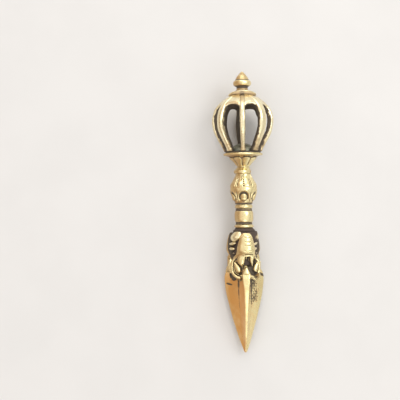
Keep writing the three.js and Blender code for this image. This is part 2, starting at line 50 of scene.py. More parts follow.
LOWER_RING_MIDDLE = 44.975  # height above the tip


def middle(node):
    low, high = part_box(node)
    return (low + high) / 2


axis = (middle("neck_ring") - middle("lower_ring")).normalized()
tip = middle("lower_ring") - axis * LOWER_RING_MIDDLE * MM
laid_down = (
    Matrix.Translation(tip)
    @ Vector((0, 0, 1)).rotation_difference(axis).to_matrix().to_4x4()
    @ Matrix.Scale(MM, 4)
)


def around(bearing, radius, height):
    """Points at a bearing in degrees from the front, a radius and a height, as rows of x, y, z."""
    turn = np.radians(bearing)
    return np.stack([radius * np.sin(turn), -radius * np.cos(turn), height + 0 * turn], -1)


def bearings(points):
    """Bearings in degrees from the front, to the left below 0."""
    return np.degrees(np.arctan2(points[:, 0], -points[:, 1]))


def radii(points):
    """Distances of points from the axis."""
    return np.hypot(points[:, 0], points[:, 1])


def places(corners):
    """Corners as rows of x, y, z."""
    return np.array([corner.co for corner in corners])


def facings(mesh):
    """The ways in which a mesh's corners face."""
    return np.array([corner.normal for corner in mesh.vertices])


def ease(low, high, value):
    """0 up to low, 1 from high on, and smooth between."""
    share = np.clip((value - low) / (high - low), 0, 1)
    return share * share * (3 - 2 * share)


def dome(distance):
    """A round swelling: 1 in the middle, 0 from a distance of 1."""
    return np.sqrt(np.clip(1 - distance**2, 0, 1))


def bead(distance):
    """A soft swelling: 1 in the middle, level with its surroundings at a distance of 1."""
    return 0.5 + 0.5 * np.cos(np.pi * np.clip(np.abs(distance), 0, 1))


def lumps(points, size, height, seed):
    """Unevenness of a cast surface: waves of about a size, in many directions."""
    waves = np.random.default_rng(seed).normal(size=(12, 4))
    total = np.zeros(len(points))
    for x, y, z, phase in waves:
        total += np.sin(points @ np.array([x, y, z]) * (2 / size) + 6 * phase)
    return total * height / 3.5


def sheet(columns, rows, place):
    """A grid whose corners place(u, v) sets, from 0 to 1, and whose meeting rims are merged."""
    form = bmesh.new()
    bmesh.ops.create_grid(form, x_segments=columns, y_segments=rows, size=0.5)
    flat = places(form.verts) + 0.5
    for corner, spot in zip(form.verts, place(flat[:, 0], flat[:, 1])):
        corner.co = spot
    bmesh.ops.remove_doubles(form, verts=form.verts, dist=1e-4)
    return form


def hollows(mesh, reach):
    """How deep each point lies under its surroundings, in millimetres: below 0 on ridges."""
    start = places(mesh.vertices)
    normals = facings(mesh)
    ends = np.array([edge.vertices[:] for edge in mesh.edges])
    spacing = np.median(np.linalg.norm(start[ends[:, 0]] - start[ends[:, 1]], axis=1))
    itself = np.arange(len(start))
    here = np.concatenate([ends[:, 0], ends[:, 1], itself])
    there = np.concatenate([ends[:, 1], ends[:, 0], itself])
    share = np.bincount(here)[:, None]
    near = int(np.clip((reach / spacing) ** 2, 3, 40))
    level, depth = start, 0
    for step in range(5 * near):
        level = np.stack([np.bincount(here, level[there, way]) for way in range(3)], 1) / share
        if step == near:
            depth = np.sum((level - start) * normals, axis=1)
    return depth + 0.5 * np.sum((level - start) * normals, axis=1)


def put(name, data):
    """Adds an object that holds data to the scene."""
    made = bpy.data.objects.new(name, data)
    bpy.context.scene.collection.objects.link(made)
    return made


def piece(name, form, material, slot, *nodes, turn=0, reach=0.5, dirt_and_shade=None, painted_reflection=(1, 0.6)):
    """Makes a piece of the dagger of a form: faces out, shaded smooth, laid down, in place of its nodes.
    Where dirt_and_shade(points, normals) is above 0 the metal is darker than its hollows alone would make
    it, with dirt and, on some pieces, painted shade. Tan is painted as a reflection on its left and right
    flanks as given, and where it faces the tip."""
    bmesh.ops.recalc_face_normals(form, faces=form.faces)
    mesh = bpy.data.meshes.new(name)
    form.to_mesh(mesh)
    form.free()
    deep = np.clip(hollows(mesh, reach), -0.06, 0.3)
    # Dirt, and on some pieces painted shade, is added to the depth that the hollow attribute holds.
    if dirt_and_shade:
        deep = deep + dirt_and_shade(places(mesh.vertices), facings(mesh))
    mesh.attributes.new("hollow", "FLOAT", "POINT").data.foreach_set("value", deep)
    mesh.transform(laid_down @ Matrix.Rotation(math.radians(turn), 4, "Z"))
    # Painted reflection: tan on the faces that turn left, and on those that turn far right, as seen from
    # above.
    facing = facings(mesh)
    reflection_share = painted_reflection[0] * ease(0.05, -0.7, facing[:, 0] + 0.5 * facing[:, 1])
    reflection_share = np.maximum(reflection_share, painted_reflection[1] * ease(0.55, 0.95, facing[:, 0]))
    mesh.attributes.new("painted_reflection", "FLOAT", "POINT").data.foreach_set("value", reflection_share)
    mesh.shade_smooth()
    mesh.materials.append(material)
    made = put(name, mesh)
    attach(made, "root")
    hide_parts(*nodes)
    return made


def node(tree, kind, inputs, output=0, **settings):
    """Adds a node, sets it, links or fills its inputs, and gives its output."""
    made = tree.nodes.new(kind)
    for key, value in settings.items():
        setattr(made, key, value)
    for key, value in inputs.items():
        if isinstance(value, bpy.types.NodeSocket):
            tree.links.new(value, made.inputs[key])
        else:
            made.inputs[key].default_value = value
    return made.outputs[output]


def maths(tree, operation, *values):
    return node(tree, "ShaderNodeMath", dict(enumerate(values)), operation=operation)


def spread(tree, value, low, high, to_low=0.0, to_high=1.0):
    """A value from low to high eased onto another range."""
    inputs = {"Value": value, "From Min": low, "From Max": high, "To Min": to_low, "To Max": to_high}
    return node(tree, "ShaderNodeMapRange", inputs, interpolation_type="SMOOTHSTEP")


def blend(tree, share, first, second):
    """A colour between two colours."""
    return node(tree, "ShaderNodeMix", {0: share, 6: first, 7: second}, output=2, data_type="RGBA")


def noise(tree, points, scale, detail=3.0, stretch=None):
    """Noise of a scale per millimetre, drawn out along the dagger where it is stretched."""
    if stretch:
        points = node(tree, "ShaderNodeMapping", {"Vector": points, "Scale": stretch})
    inputs = {"Vector": points, "Scale": scale, "Detail": detail}
    return node(tree, "ShaderNodeTexNoise", inputs)


def vary(tree, base, pattern, amount):
    """A base value moved up and down by noise."""
    return maths(tree, "MULTIPLY_ADD", maths(tree, "SUBTRACT", pattern, 0.5), amount, base)


# The age of the metal, with painted light: polish where use has rubbed it, tan brass on the flats, dark
# patina in hollows, and tan as a painted reflection where the painted_reflection attribute asks. It reads
# how deep a point lies, with dirt and painted shade added, and how much of the room over it is taken by
# other metal.
age_and_painted_light = bpy.data.node_groups.new("age of brass", "ShaderNodeTree")
for way, kind, names in (
    ("INPUT", "Color", ("Polished", "Tan", "Patina")),
    ("INPUT", "Float", ("Patina Amount", "Tan Amount", "Base Roughness")),
    ("OUTPUT", "Color", ("Color",)),
    ("OUTPUT", "Float", ("Roughness", "Metallic", "Height")),
):
    for name in names:
        age_and_painted_light.interface.new_socket(name, in_out=way, socket_type="NodeSocket" + kind)
given = age_and_painted_light.nodes.new("NodeGroupInput").outputs
spot = node(age_and_painted_light, "ShaderNodeTexCoord", {}, output="Object")
spot = node(age_and_painted_light, "ShaderNodeMapping", {"Vector": spot, "Scale": (1 / MM,) * 3})
depth = node(age_and_painted_light, "ShaderNodeAttribute", {}, output="Fac", attribute_name="hollow")
open_air = node(age_and_painted_light, "ShaderNodeAmbientOcclusion", {"Distance": 3.0 * MM}, output="AO", samples=12)
blotches = noise(age_and_painted_light, spot, 0.45, detail=4.0)
grain = noise(age_and_painted_light, spot, 5.0, detail=5.0)
brushed = noise(age_and_painted_light, spot, 2.2, stretch=(1.0, 0.12, 1.0))
# Where other metal is near, the colour darkens towards patina: patina in hollows, and painted shade between
# pieces.
shade = maths(age_and_painted_light, "SUBTRACT", 1.0, open_air)
dark = maths(age_and_painted_light, "MULTIPLY_ADD", depth, 8.0, maths(age_and_painted_light, "MULTIPLY", shade, 1.1))
dark = vary(age_and_painted_light, dark, grain, 0.5)
dark = vary(age_and_painted_light, dark, blotches, 0.6)
dark = maths(age_and_painted_light, "ADD", dark, maths(age_and_painted_light, "SUBTRACT", given["Patina Amount"], 1.0))
film = spread(age_and_painted_light, dark, -0.15, 0.35)
dark = spread(age_and_painted_light, dark, 0.12, 0.62)
rubbed = spread(age_and_painted_light, maths(age_and_painted_light, "MULTIPLY", depth, -1.0), 0.0, 0.06)
# Tan as a painted reflection, where the painted_reflection attribute asks for it.
painted_reflection = node(age_and_painted_light, "ShaderNodeAttribute", {}, output="Fac", attribute_name="painted_reflection")
tan = maths(age_and_painted_light, "MULTIPLY", painted_reflection, 0.9)
tan = maths(age_and_painted_light, "MULTIPLY_ADD", spread(age_and_painted_light, blotches, 0.3, 0.7), 0.25, tan)
tan = maths(age_and_painted_light, "MULTIPLY", tan, given["Tan Amount"])
tan = maths(age_and_painted_light, "MAXIMUM", tan, maths(age_and_painted_light, "MULTIPLY", film, 0.8))
tan = maths(age_and_painted_light, "MULTIPLY", tan, maths(age_and_painted_light, "MULTIPLY_ADD", rubbed, -0.25, 1.0))
colour = blend(age_and_painted_light, tan, given["Polished"], given["Tan"])
colour = blend(age_and_painted_light, dark, colour, given["Patina"])
rough = vary(age_and_painted_light, given["Base Roughness"], grain, 0.25)
rough = vary(age_and_painted_light, rough, brushed, 0.15)
rough = maths(age_and_painted_light, "MULTIPLY_ADD", tan, 0.12, rough)
rough = maths(age_and_painted_light, "MULTIPLY_ADD", dark, 0.22, rough)
metal = maths(age_and_painted_light, "MULTIPLY_ADD", dark, -0.6, maths(age_and_painted_light, "MULTIPLY_ADD", tan, -0.45, 1.0))
metal = maths(age_and_painted_light, "MAXIMUM", metal, 0.3)
pits = node(age_and_painted_light, "ShaderNodeTexVoronoi", {"Vector": spot, "Scale": 1.6, "Randomness": 1.0})
pits = spread(age_and_painted_light, pits, 0.05, 0.22, 0.35, 0.0)
height = maths(age_and_painted_light, "ADD", maths(age_and_painted_light, "MULTIPLY", grain, 0.35), maths(age_and_painted_light, "MULTIPLY", brushed, 0.25))
height = maths(age_and_painted_light, "SUBTRACT", height, pits)
ends = age_and_painted_light.nodes.new("NodeGroupOutput").inputs
for key, value in (("Color", colour), ("Roughness", rough), ("Metallic", metal), ("Height", height)):
    age_and_painted_light.links.new(value, ends[key])


def brass(
    name, polished, tan_colour, patina, patina_amount=1.0, tan_amount=1.0, roughness=0.22, relief=0.04,
):
    """A brass material that ages between three colours, with relief in millimetres. Its tan colour is also
    the colour of a painted reflection.
    """
    material = bpy.data.materials.new(name)
    material.use_nodes = True
    tree = material.node_tree
    shader = tree.nodes["Principled BSDF"]
    aged_and_lit = tree.nodes.new("ShaderNodeGroup")
    aged_and_lit.node_tree = age_and_painted_light
    values = ((*polished, 1), (*tan_colour, 1), (*patina, 1), patina_amount, tan_amount, roughness)
    for socket, value in zip(aged_and_lit.inputs, values):
        socket.default_value = value
    for source, target in (("Color", "Base Color"), ("Roughness", "Roughness"), ("Metallic", "Metallic")):
        tree.links.new(aged_and_lit.outputs[source], shader.inputs[target])
    raised = {"Height": aged_and_lit.outputs["Height"], "Distance": relief * MM, "Strength": 1.0}
    tree.links.new(node(tree, "ShaderNodeBump", raised), shader.inputs["Normal"])
    return material


blade_brass = brass(
    "blade brass", polished=(0.90, 0.78, 0.43), tan_colour=(0.70, 0.36, 0.105), patina=(0.10, 0.08, 0.052),
    patina_amount=0.78, roughness=0.27,
)

FIN_COUNT = 3
BLADE_LENGTH = 31.3
BLADE_ROWS = 240
EDGE_SHARE = 0.3  # the flat edge's share of a fin's corners
FIN_HEIGHTS = [0, 0.15, 0.5, 1, 6, 12, 15, 17, 19, 21, 23, 25, 27, 29, 29.9, 30.6, 31.3]
FIN_RADII = [0.2, 0.5, 0.72, 0.85, 2.75, 4.78, 5.68, 6.2, 6.7, 7.15, 7.45, 7.55, 7.4, 6.7, 6.0, 5.0, 4.4]
EDGE_HEIGHTS = [0, 1, 5, 11, 15, 18, 21, 23.5, 25.5, 28, 29.2, 31.3]
EDGE_WIDTHS = [0.12, 0.5, 0.66, 0.86, 1.03, 1.22, 1.42, 1.65, 2.2, 2.7, 2.2, 0.8]
FLUTE_HEIGHTS = [0, 1, 5, 12, 19, 24, 28, 31.3]
FLUTE_SHARES = [0.5, 0.48, 0.46, 0.43, 0.38, 0.345, 0.33, 0.36]


def nick(points):
    """A short cut across the left fin's shoulder."""
    x, y, height = points.T
    near = bead((height - 24.3 + 0.22 * (x + 5.6)) / (0.5 - 0.12 * (x + 5.6))) * bead((x + 5.6) / 1.5)
    return np.where(y < 3, near, 0)


def pits(points):
    """Pits of the casting in the valley on the right, by the front ridge and under the head."""
    x, _, height = points.T
    bearing = bearings(points)
    patch = ease(1.2, 1.6, x) * ease(6.0, 3.0, x) * ease(15.5, 21, height) * ease(118, 112, bearing)
    spots = lumps(points * np.array([1, 0.5, 1]), 0.3, 0.7, 5) + lumps(points, 1.1, 0.3, 6)
    return patch * np.clip(spots + 0.1 + 0.2 * ease(55, 65, bearing), 0, 1)


def blade_dirt_and_shade(points, normals):
    """Dark in the valleys, by the front ridge, in the nick and the pits, with a painted shadow under a jaw.
    """
    x, y, height = points.T
    bearing = bearings(points)
    valley = np.abs(np.abs(bearing) % 120 - 60)
    rough_cast = ease(18.5, 21, height) * ease(31, 27.5, height)
    strip = bead(valley / 9) * rough_cast * (0.13 + lumps(points, 0.5, 0.08, 7))
    by_ridge = 0.1 * bead((x - 2.0) / 0.45) * ease(17.5, 22, height) * np.where(y < 0, 1, 0)
    # Painted shadow of the front head's jaw across the right fin.
    jaw_shadow = 0.3 * bead(height - 27.5 - 0.4 * (6.3 - x)) * ease(2.5, 3.5, x) * ease(118, 112, bearing)
    foot = 0.05 * ease(27.5, 29.5, height) * ease(0.5, 2, x)
    front_edge = 0.06 * bead(bearing / 14)
    dirt_and_shadow = strip + by_ridge + 0.22 * pits(points) + jaw_shadow + foot + 0.4 * nick(points)
    return dirt_and_shadow - 0.03 - front_edge


def blade_point(u, v):
    """A point of the blade, round its three fins with u and up it with v."""
    height = BLADE_LENGTH * (0.15 * v + 0.85 * (1 - np.cos(np.pi * v)) / 2)
    edge = np.interp(height, FIN_HEIGHTS, FIN_RADII)
    half = np.interp(height, EDGE_HEIGHTS, EDGE_WIDTHS) / 2
    flute = edge * np.interp(height, FLUTE_HEIGHTS, FLUTE_SHARES)
    share = (u * FIN_COUNT) % 1 * 2 - 1
    fin = np.floor(u * FIN_COUNT % FIN_COUNT) * 360 / FIN_COUNT
    out = np.abs(share)
    on_edge = out < EDGE_SHARE
    down = np.clip((out - EDGE_SHARE) / (1 - EDGE_SHARE), 0, 1)
    valley = np.radians(180 / FIN_COUNT)
    hollow = 0.045 * edge * np.sin(np.pi * down) * ease(4, 22, height)
    across = np.where(on_edge, half * out / EDGE_SHARE, half + (flute * np.sin(valley) - half) * down)
    rounding = 0.12 * np.minimum(half, 0.5)
    crown = edge - rounding * (out / EDGE_SHARE) ** 4
    flank = edge - rounding + (flute * np.cos(valley) - edge) * down
    radial = np.where(on_edge, crown, flank - 0.75 * hollow)
    across = across - 0.65 * hollow * np.where(on_edge, 0, 1)
    across = np.sign(share) * across
    turn = np.radians(fin)
    x = radial * np.sin(turn) + across * np.cos(turn)
    y = -(radial * np.cos(turn) - across * np.sin(turn))
    points = np.stack([x, y, height], -1)
    uneven = lumps(points, 5, 0.04, 3) + lumps(points, 1.3, 0.008, 4)
    uneven = uneven - 0.25 * nick(points) - 0.14 * pits(points)
    away = points * np.array([1, 1, 0])
    return points + away / np.maximum(np.linalg.norm(away, axis=1, keepdims=True), 0.3) * uneven[:, None]


def close_ends(form):
    """Fills every open rim of a form with a fan of faces."""
    rims = [edge for edge in form.edges if edge.is_boundary]
    filled = bmesh.ops.holes_fill(form, edges=rims, sides=0)["faces"]
    bmesh.ops.poke(form, faces=filled)


TANG_RADIUS = 1.2
TANG_FOOT = BLADE_LENGTH - 1
TANG_TOP = 73.3
blade = sheet(300, BLADE_ROWS, blade_point)
close_ends(blade)
tang_middle = Matrix.Translation((0, 0, (TANG_TOP + TANG_FOOT) / 2))
bmesh.ops.create_cone(
    blade, cap_ends=True, segments=24, radius1=TANG_RADIUS, radius2=TANG_RADIUS,
    depth=TANG_TOP - TANG_FOOT, matrix=tang_middle,
)
piece("blade", blade, blade_brass, "blade_brass", "blade", reach=0.7, dirt_and_shade=blade_dirt_and_shade, painted_reflection=(1, 0))

# Knot core. A brass core over the blade's shoulder that shows in the gaps between the heads, with a
# round boss over coils in each gap. It is threaded on the tang and left dark in its recesses.
recess_brass = brass(
    "recess brass", polished=(0.93, 0.82, 0.52), tan_colour=(0.30, 0.19, 0.10), patina=(0.085, 0.06, 0.046),
    patina_amount=1.2, tan_amount=0.8, roughness=0.30, relief=0.05,
)
HEAD_TURN = 3  # degrees: the heads stand a little askew over the fins
FILM = 0.05  # the gap between pieces, which solder fills
CORE_BASE = BLADE_LENGTH + FILM
CORE_LENGTH = 11.8
BORE_RADIUS = 1.25


def bored(outline, base, length):
    """place() for a piece on the tang: up outline(bearing, height), then down its bore."""

    def place(u, v):
        bearing = u * 360
        outside = v <= 0.9
        height = np.where(outside, v / 0.9, 1 - (v - 0.9) / 0.1) * length
        inside = np.clip(np.minimum(v - 0.9, 1 - v) / 0.02, 0, 1)
        radius = outline(bearing, height)
        radius = np.where(outside, radius, radius + (BORE_RADIUS - radius) * inside)
        radius = np.where((v == 0) | (v == 1), BORE_RADIUS, radius)
        return around(bearing, radius, base + height)

    return place


def off_beat(bearing, count, offset=0):
    """Degrees from the nearest of a count of evenly spaced bearings."""
    pitch = 360 / count
    return (bearing - offset + pitch / 2) % pitch - pitch / 2


def core_outline(bearing, height):
    """Radius of the core: a boss like a skewed leaf over coils in each gap, worn on the right."""
    side = off_beat(bearing, FIN_COUNT, 60)
    bed = 4.45 - 0.5 * ease(9.6, 11.8, height) - 0.25 * bead(side / 40) * bead((height - 6.6) / 3.6)
    across, up = np.radians(side - 13) * 5.2, height - 10.2
    leaf = np.hypot((across * 0.87 + up * 0.5) / 2.9, (up * 0.87 - across * 0.5) / 1.75)
    boss = 1.4 * dome(leaf) ** 0.7
    upper = 1.5 * dome(np.hypot((side + 6) / 21, (height - 7.6 - 0.012 * side) / 0.6)) ** 0.7
    lower = 1.4 * dome(np.hypot((side + 10) / 17, (height - 5.75) / 0.6)) ** 0.7
    third = 0.45 * dome(np.hypot((side + 3) / 13, (height - 4.2) / 0.5))
    worn = 1 - 0.6 * bead((bearing - 60) / 55)
    points = around(bearing, bed, height)
    knot = np.maximum.reduce([boss * worn**1.5, upper * worn, lower * worn, third])
    return bed + knot + lumps(points, 1.4, 0.03, 5)


def core_grime(points, normals):
    """Dark in the bed, and rubbed on what stands out of it."""
    reach_out = radii(points)
    return 0.14 * ease(5.0, 4.5, reach_out) - 0.3 * ease(4.8, 5.2, reach_out)


core = sheet(240, 130, bored(core_outline, CORE_BASE, CORE_LENGTH))
piece(
    "knot_core", core, recess_brass, "recess_brass", "knot_core",
    turn=HEAD_TURN, dirt_and_shade=core_grime, painted_reflection=(0.2, 0),
)

# Makara heads. One cast and chased head lies over each fin, which comes out of its mouth: a ringed
# snout above, slanted eyes, teeth, and a ridge that curls from the brow round the eye to the jaw.
handled_brass = brass(
    "handled brass", polished=(0.93, 0.82, 0.46), tan_colour=(0.47, 0.27, 0.095),
    patina=(0.10, 0.078, 0.054),
)
HEAD_DROP = 6.5  # how far the heads hang below the blade's shoulder
HEAD_TWIST = 4  # degrees by which the face is turned to the left under the snout
FACE_RADIUS = 6  # where distances across a face are measured
HEAD_SPREAD = 59.7
HEAD_INNER_RADIUS = 2.4
CHEEK_RADIUS = 5.3
SNOUT_TOP = 11.45
SNOUT_LIP = 3.3
SNOUT_RINGS = [9.7, 8.25, 6.95, 5.0]
HEAD_SIZES = [1, 0.92, 1]  # the castings aren't all alike
EYE_TILT = math.radians(27)
SNOUT_RADIUS = 4.8
SNOUT_RIDGE = 1.8
MOUTH_DEPTH = 1.2
GUM_RADIUS = 4.2
GUM_HEIGHT = 3.1
TEETH = [(0.1, 0.4, 1.0, 1.2), (1.15, 0.35, 1.7, 1.0), (2.35, 1.0, 3.3, 1.9)]  # across, root, length, relief
LEFT_CURL = [
    (3.6, 3.0), (4.6, 2.8), (5.45, 1.8), (5.95, -0.2), (5.85, -2.1), (4.7, -3.4), (3.4, -4.1), (2.5, -4.3),
]
RIGHT_CURL = [(3.8, 2.8), (4.8, 2.5), (5.6, 1.5), (6.0, -0.2), (5.8, -1.9), (5.1, -2.9)]
JAW_SHADOW = [(1.35, 0.4), (1.7, -1.0), (2.4, -2.2), (4.0, -3.1), (6.1, -3.9)]
SCROLLS = [(2.4, -5.1, 0.42), (3.8, -5.0, 0.3)]  # across, height, radius


def line_distance(x, y, line):
    """Distance of points from a line of straight stretches."""
    nearest = np.full(np.shape(x), np.inf)
    for (ax, ay), (bx, by) in zip(line, line[1:]):
        share = ((x - ax) * (bx - ax) + (y - ay) * (by - ay)) / ((bx - ax) ** 2 + (by - ay) ** 2)
        share = np.clip(share, 0, 1)
        nearest = np.minimum(nearest, np.hypot(x - ax - share * (bx - ax), y - ay - share * (by - ay)))
    return nearest


def head_half_angle(height):
    snout = 25 + 3 * (10.5 - height)
    top = np.sqrt(1 - np.clip((height - 9.4) / (SNOUT_TOP + 0.15 - 9.4), 0, 1) ** 3)
    return snout * top + (HEAD_SPREAD - snout * top) * ease(4.1, 2.4, height)


def head_foot(side):
    """Height at which a head ends below, higher towards its neighbours."""
    return -6.4 + 3.4 * ease(26, 58, side)


def leaf_eye(side, height, right):
    """Distance from the eye's middle, 1 at its outline: pointed above and round below."""
    up = height + 0.7 - 0.2 * right
    out = side - 3.35 - 1.2 * right
    along = (up * math.cos(EYE_TILT) + out * math.sin(EYE_TILT)) / 2.15
    beside = out * math.cos(EYE_TILT) - up * math.sin(EYE_TILT)
    width = 0.98 * np.sqrt(np.clip(1 - along**2, 1e-4, 1)) * (1 - 0.35 * along)
    return np.where(np.abs(along) < 1, np.clip(np.abs(beside) / width, 0, 3), 3)


def face(across, height):
    """Radius of the head below its snout, at a distance across, to the left below 0."""
    side = np.abs(across)
    right = ease(-0.4, 0.4, across)
    cheek = 0.5 * bead((side - 4.2) / 3.2) * bead((height + 1.4) / 3.6)
    level = CHEEK_RADIUS + cheek - 0.2 * ease(1.5, 3, height)
    mouth = ease(-0.7, -0.3, across) * ease(4.4, 3.8, across)
    mouth = mouth * ease(-1.9, -1.0, height) * ease(3.2, 2.9, height)
    level = level - MOUTH_DEPTH * mouth
    for tooth, root, length, relief in TEETH:
        above_point = height - GUM_HEIGHT + length
        shape = np.abs(across - tooth) / (root * np.clip(above_point / length, 0.05, 1) ** 0.6)
        level = np.maximum(level, np.where(above_point > 0, GUM_RADIUS + relief * dome(shape) ** 0.45, 0))
    brow = np.hypot((across + 1.85) / 1.6, (height - 2.2) / 2.4)
    level = np.maximum(level, np.where(brow < 1, 5.1 + 0.95 * dome(brow) ** 0.8, 0))
    level = level - 0.8 * bead(np.hypot((across + 0.6) / 1.1, (height + 0.5) / 1.5))
    leaf = leaf_eye(side, height, right)
    level = level - 0.65 * bead((leaf - 1.25) / 0.6)
    level = np.maximum(level, np.where(leaf < 1, 5.15 + 1.05 * dome(leaf) ** 0.8, 0))
    curl = line_distance(side, height, LEFT_CURL) * (1 - right)
    curl = curl + line_distance(side, height, RIGHT_CURL) * right
    level = level - 0.45 * bead((curl - 0.7) / 0.4) * ease(3.1, 2.5, np.hypot(side - 3.5, height + 0.7))
    half = 0.6 - 0.15 * right
    crest = 4.6 + 0.8 * ease(3.0, 0.8, height) + (0.7 + 0.15 * right) * dome(curl / half)
    level = np.maximum(level, np.where(curl < half, crest, 0))
    level = level - 0.9 * right * dome(line_distance(across, height, JAW_SHADOW) / 0.75) ** 0.7
    level = level - 0.9 * bead(np.hypot((across + 2.4) / 1.3, (height + 2.75) / 0.85))
    share = np.clip((-0.45 - height) / 2.2, 0, 1)
    nub = np.abs(across - 0.15) / (0.12 + 1.25 * share**0.75)
    nub = np.where((height < -0.45) & (height > -2.75), 4.6 + (2.3 + 0.5 * share) * dome(nub) ** 0.3, 0)
    return np.maximum(level, nub)


def head_point(u, v):
    """A point of a head, across it with u and up it with v: snout above, face below."""
    share = u * 2 - 1
    height = -HEAD_DROP + (SNOUT_TOP + HEAD_DROP) * v
    half = head_half_angle(height)
    bearing = share * half
    side = np.abs(bearing)
    height = np.maximum(height, head_foot(side) * np.clip(-height / HEAD_DROP, 0, 1) + height * 0.0001)
    along = np.clip((height - SNOUT_LIP) / (SNOUT_TOP - SNOUT_LIP), 0, 1)
    ridge = SNOUT_RIDGE * (1 - along**2.6) ** 0.5 * (1 - 0.4 * bead((height - 3.3) / 2))
    narrow = np.maximum(half, 18) * (1 - 0.12 * bead((height - 4) / 2.5))
    snout = SNOUT_RADIUS + ridge * dome(side / np.minimum(narrow, 46)) ** 0.9
    for ring in SNOUT_RINGS:
        bent = height - ring - 0.25 * ((bearing - 4) / 14) ** 2
        on_ring = ease(15, 10, np.abs(bearing - 4))
        snout = snout - 0.11 * bead(bent / 0.2) * on_ring + 0.05 * bead((bent - 0.55) / 0.5) * on_ring
    snout = snout - 0.12 * bead((height - 11.0 + 0.5 * (bearing / 14) ** 2) / 0.2)
    over_mouth = ease(-11, -5, bearing) * ease(38, 33, bearing)
    beside = ease(1.4, 4.6, height)
    lip = beside + (ease(SNOUT_LIP - 0.45, SNOUT_LIP, height) - beside) * over_mouth
    cheeks = face(np.radians(bearing) * FACE_RADIUS, height)
    radius = cheeks + (snout - cheeks) * lip
    radius = radius - 0.25 * bead((height - SNOUT_LIP - 0.5) / 0.25) * ease(17, 13, np.abs(bearing - 9))
    across = np.radians(side) * FACE_RADIUS
    foot = head_foot(side)
    off_curl = ease(0.35, 0.9, line_distance(across, height, LEFT_CURL))
    sinking = ease(foot + 2.4, foot, height) * off_curl
    radius = radius + (3.0 - radius) * sinking * ease(-1.9, -2.9, height)
    for scroll_across, scroll_height, size in SCROLLS:
        scroll = np.hypot(across - scroll_across, height - scroll_height)
        radius = radius + 0.9 * dome((scroll - size) / (0.9 * size)) * ease(4.6, 3.6, radius)
    radius = radius - 0.2 * ease(HEAD_SPREAD - 2, HEAD_SPREAD, side) * ease(4.2, 3, height)
    points = around(bearing, radius, height)
    radius = radius + lumps(points, 1.1, 0.025, 6)
    return around(bearing - HEAD_TWIST * ease(3.6, 1.6, height), radius, BLADE_LENGTH + height)


def head_dirt_and_shade(flank_shade):
    """Painted shade in the mouth and a painted shadow under the jaw, with painted shade on the
    snout's flanks as given.
    """

    def dirt_and_shade(points, normals):
        height = points[:, 2] - BLADE_LENGTH
        bearing = bearings(points)
        across = np.radians(bearing + HEAD_TWIST * ease(3.6, 1.6, height)) * FACE_RADIUS
        reach_out = radii(points)
        # Painted shade in the mouth, and by the nub.
        mouth = 0.16 * ease(5.5, 5.0, reach_out) * ease(-1.6, -1.0, across)
        by_nub = np.hypot((across + 0.5) / 1.0, (height + 0.3) / 1.4)
        mouth = mouth + 0.05 * bead(by_nub) * ease(6.3, 6.0, reach_out)
        clean = 0.06 * ease(0.5, -1, across) * ease(3, 2, height) * ease(5.2, 5.6, reach_out)
        # Painted shadow of the jaw, along the line of JAW_SHADOW.
        painted_jaw_shadow = 0.22 * dome(line_distance(across, height, JAW_SHADOW)) * ease(6.3, 5.6, reach_out)
        spots = np.clip(lumps(points, 0.4, 0.6, 14) + 0.1, 0, 1) * ease(1, 2, across)
        spots = 0.25 * spots * ease(-2.4, -3.4, height + 0.5 * (across - 2))
        snout = ease(3.2, 4.2, height)
        # Painted shade on the snout's flanks, as given.
        flank = flank_shade * ease(0.68, 0.84, np.abs(bearing) / head_half_angle(height))
        left_curl = 0.04 * ease(1.0, 0.6, line_distance(-across, height, LEFT_CURL)) * ease(3, 2, height)
        return mouth - clean + painted_jaw_shadow + spots + left_curl + snout * (flank - 0.06 * ease(4.7, 5.2, reach_out))

    return dirt_and_shade


for number in range(FIN_COUNT):
    head = sheet(150, 230, head_point)
    bmesh.ops.scale(head, vec=(HEAD_SIZES[number], HEAD_SIZES[number], 1), verts=head.verts)
    back = bmesh.ops.extrude_face_region(head, geom=head.faces[:])["geom"]
    for corner in (part for part in back if isinstance(part, bmesh.types.BMVert)):
        corner.co.xy *= HEAD_INNER_RADIUS / math.hypot(*corner.co.xy)
    name = f"makara_head_{number + 1}"
    turn = number * 120 + HEAD_TURN
    # The heads turned away get painted shade on their snouts' flanks, and the front one's flanks are a
    # little lighter.
    dirt_and_shade = head_dirt_and_shade(0.25 if number else -0.02)
    piece(name, head, handled_brass, "handled_brass", name, turn=turn, reach=0.4, dirt_and_shade=dirt_and_shade)

# Grip. The collar, the lower ring, the barrel and the upper ring are turned brass, threaded on the tang
# and soldered. Use has rounded and rubbed them, and they are dark in the grooves between them.


def turned(outline, base, steps=120):
    """Spins an outline of (radius, height) corners about the axis."""
    form = bmesh.new()
    corners = [form.verts.new((radius, 0, base + height)) for radius, height in outline]
    edges = [form.edges.new(pair) for pair in zip(corners, corners[1:])]
    bmesh.ops.spin(
        form, geom=corners + edges, axis=(0, 0, 1), angle=math.tau, steps=steps, use_merge=True,
    )
    bmesh.ops.remove_doubles(form, verts=form.verts, dist=1e-4)
    return form


def swept(corners, step=0.12):
    """An outline with points added on each stretch, so that the finish has something to follow."""
    outline = [corners[0]]
    for (ar, ah), (br, bh) in zip(corners, corners[1:]):
        count = max(1, round(math.hypot(br - ar, bh - ah) / step))
        outline += [(ar + (br - ar) * n / count, ah + (bh - ah) * n / count) for n in range(1, count + 1)]
    return outline


def roll(radius, low, high, fall, count=14):
    """A rounded flank from one height to another that swells by fall to a radius."""
    turns = [math.pi * n / count for n in range(count + 1)]
    return [(radius - fall * (1 - math.sin(t)), low + (high - low) * (1 - math.cos(t)) / 2) for t in turns]


def groove_grime(radius):
    """Dark where a turned piece is below a radius, and rubbed above it."""
    return lambda points, normals: 0.15 * ease(radius, radius - 0.2, radii(points)) - 0.03


